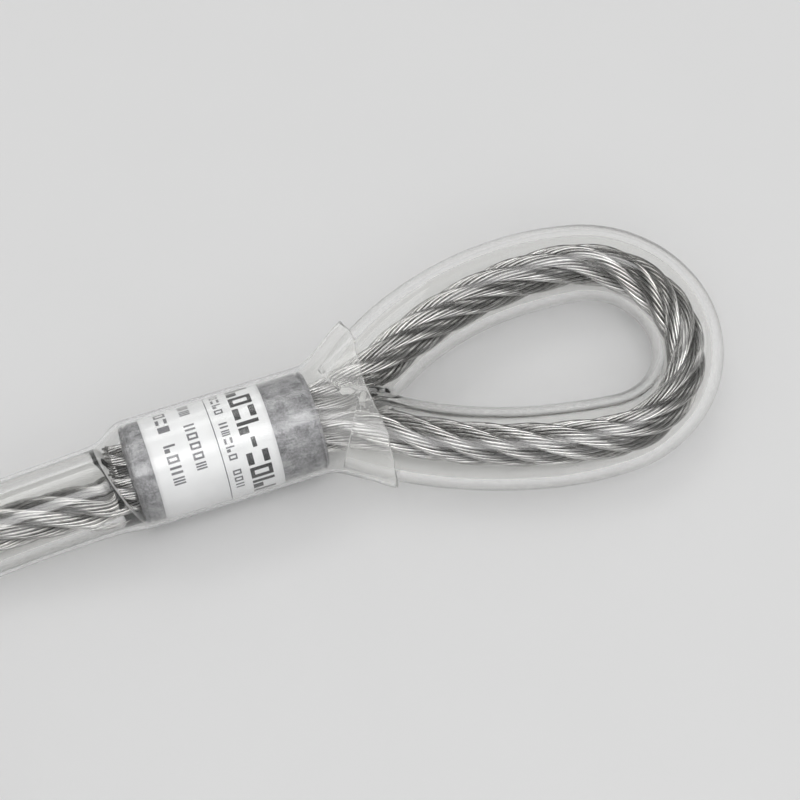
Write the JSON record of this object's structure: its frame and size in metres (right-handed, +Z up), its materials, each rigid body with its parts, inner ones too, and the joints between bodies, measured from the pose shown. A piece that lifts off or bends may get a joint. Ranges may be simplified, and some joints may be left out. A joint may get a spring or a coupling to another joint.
{
  "type": "wire rope sling",
  "caption": "Steel wire rope sling with a soft eye at each end, pressed ferrules, clear hose and clear shrink sleeves.",
  "frame": {"origin": "under the middle of the near eye end, on the surface it lies on", "axes": "+X along the ferrule towards the crown of the near eye, +Z up, square to the plane of the eye"},
  "size_m": [0.3251, 0.1875, 0.0304],
  "materials": {
    "steel_wire": "bright drawn wire",
    "pressed_aluminium": "dull, as pressed",
    "clear_hose": "clear, gloss",
    "clear_sleeve": "clear, gloss, slightly milky",
    "label_film": "matt print film"
  },
  "bodies": {
    "root": {"ferrule": "pressed_aluminium", "label": "label_film", "shrink_sleeve": "clear_sleeve", "eye_hose": "clear_hose", "core_strand": "steel_wire", "strand_1": "steel_wire", "strand_2": "steel_wire", "strand_3": "steel_wire", "strand_4": "steel_wire", "strand_5": "steel_wire", "strand_6": "steel_wire", "leg_rope": "steel_wire", "leg_hose": "clear_hose", "leg_coil": "clear_hose", "far_ferrule": "pressed_aluminium", "far_sleeve": "clear_sleeve", "far_eye_hose": "clear_hose", "far_core_strand": "steel_wire", "far_strand_1": "steel_wire", "far_strand_2": "steel_wire", "far_strand_3": "steel_wire", "far_strand_4": "steel_wire", "far_strand_5": "steel_wire", "far_strand_6": "steel_wire"}
  },
  "joints": []
}
